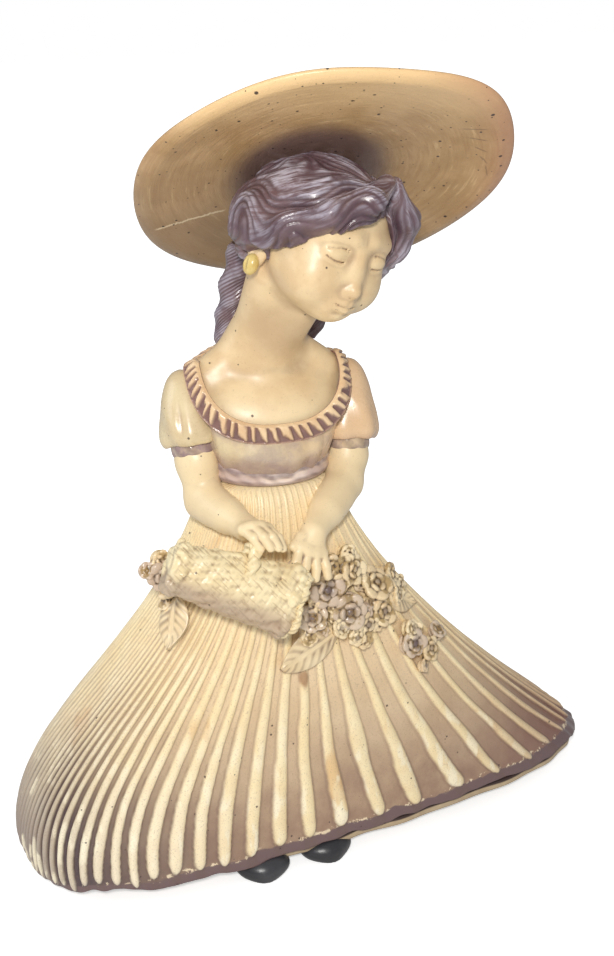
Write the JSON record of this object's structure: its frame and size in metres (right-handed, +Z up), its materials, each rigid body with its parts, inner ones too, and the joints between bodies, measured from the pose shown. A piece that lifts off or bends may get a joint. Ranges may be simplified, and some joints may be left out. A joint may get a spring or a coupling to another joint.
{
  "type": "chalkware figure",
  "caption": "Free-standing painted plaster figure of a girl in a wide sun hat and swept pleated skirt, holding a flower basket; a shelf ornament.",
  "frame": {"origin": "on the floor below the middle of the waist, on the underside of the felt pad", "axes": "+Z up; the feet point along -Y; the long way of the skirt runs along X with its train towards +X, the figure's own left"},
  "size_m": [0.3472, 0.1441, 0.4158],
  "materials": {
    "felt": "matt felt",
    "base": "matt painted plaster",
    "shoe": "glossy dark paint on plaster",
    "petticoat": "satin painted plaster",
    "skirt": "satin antiqued paint on plaster",
    "sash": "glossy mauve paint on plaster",
    "dress": "glossy antiqued paint on plaster",
    "trim": "glossy mauve-brown paint on plaster",
    "skin": "glossy flesh paint on plaster",
    "hair": "glossy dark paint with dry-brushed lights",
    "hat": "glossy straw-coloured paint with dark spatter",
    "gold": "gold paint",
    "basket": "satin antiqued paint on plaster",
    "flower": "satin mauve and cream paint on plaster",
    "leaf": "satin cream and olive paint on plaster",
    "steel": "bare wire"
  },
  "bodies": {
    "root": {"felt_pad": "felt", "base_plinth": "base", "closing_plate": "base", "shoe_right": "shoe", "shoe_left": "shoe", "petticoat": "petticoat", "skirt": "skirt", "waist_sash": "sash", "bodice": "dress", "chest_and_neck": "skin", "neck_rod": "steel", "neckline_ruffle": "trim", "sleeve_right": "dress", "sleeve_left": "dress", "sleeve_band_right": "trim", "sleeve_band_left": "trim", "arm_right": "skin", "arm_left": "skin", "hand_right": "skin", "hand_left": "skin", "head": "skin", "hair_cap": "hair", "hair_fringe": "hair", "hair_side_lock": "hair", "plait_right": "hair", "plait_left": "hair", "earring_right": "gold", "earring_left": "gold", "hat": "hat", "basket": "basket", "basket_rim": "basket", "basket_handle": "basket", "bouquet": "flower", "sprig": "flower", "posy": "flower", "leaf_1": "leaf", "leaf_2": "leaf", "leaf_3": "leaf"}
  },
  "joints": []
}
